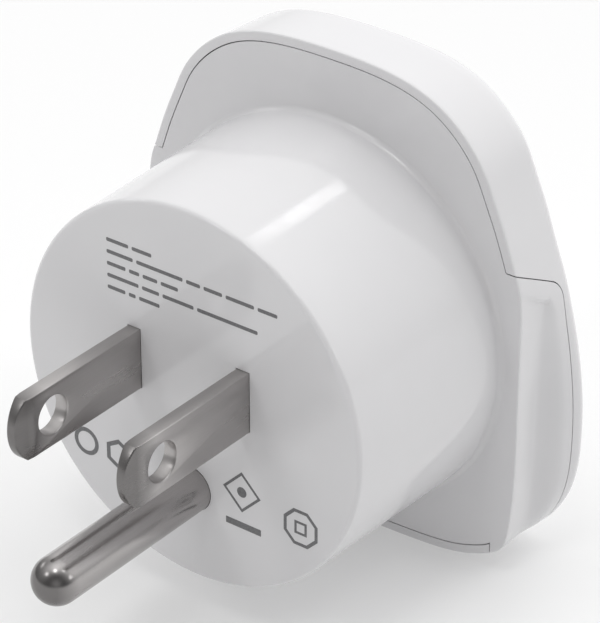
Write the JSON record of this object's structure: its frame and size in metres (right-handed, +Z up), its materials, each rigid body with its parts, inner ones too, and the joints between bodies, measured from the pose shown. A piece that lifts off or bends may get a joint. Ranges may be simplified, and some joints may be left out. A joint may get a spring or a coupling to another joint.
{
  "type": "travel plug adaptor",
  "caption": "White travel plug adaptor: round barrel with two flat blades and an earth pin behind, and a rounded flange with a shuttered three-hole socket in front.",
  "frame": {"origin": "centre of the barrel's flat rear face, on the barrel's axis, where the adaptor meets the wall outlet", "axes": "+Y is the way the plug's pins point, into the wall outlet; +Z is up, with the earth hole of the socket at the top; +X is the line side; the socket faces -Y"},
  "size_m": [0.0488, 0.0507, 0.05],
  "materials": {
    "shell_plastic": "glossy barrel and rim, satin rear face",
    "inner_plastic": "matt",
    "shutter_plastic": "satin",
    "pin_nickel": "satin nickel plate",
    "contact_brass": "rolled strip",
    "fastener_steel": "zinc plated",
    "spring_steel": "drawn wire",
    "print_ink": "matt pad print"
  },
  "bodies": {
    "housing": {"rear_shell": "shell_plastic", "front_shell": "shell_plastic", "line_blade": "pin_nickel", "neutral_blade": "pin_nickel", "earth_pin": "pin_nickel", "pin_retainer": "inner_plastic", "contact_block": "inner_plastic", "line_strap": "contact_brass", "neutral_strap": "contact_brass", "earth_strap": "contact_brass", "line_contact": "contact_brass", "neutral_contact": "contact_brass", "earth_contact": "contact_brass", "line_rivet": "fastener_steel", "neutral_rivet": "fastener_steel", "earth_rivet": "fastener_steel", "block_screw_a": "fastener_steel", "block_screw_b": "fastener_steel", "block_screw_c": "fastener_steel", "retainer_screw_a": "fastener_steel", "retainer_screw_b": "fastener_steel", "shutter_spring": "spring_steel"},
    "shutter": {"shutter": "shutter_plastic"}
  },
  "joints": [
    {"name": "shutter_slide", "type": "slide", "parent": "housing", "child": "shutter", "axis": [0, 0, -1], "range_m": [0, 0.0052], "stiffness_N_per_m": 150, "springref_m": -0.003, "deforming": ["shutter_spring"]}
  ]
}
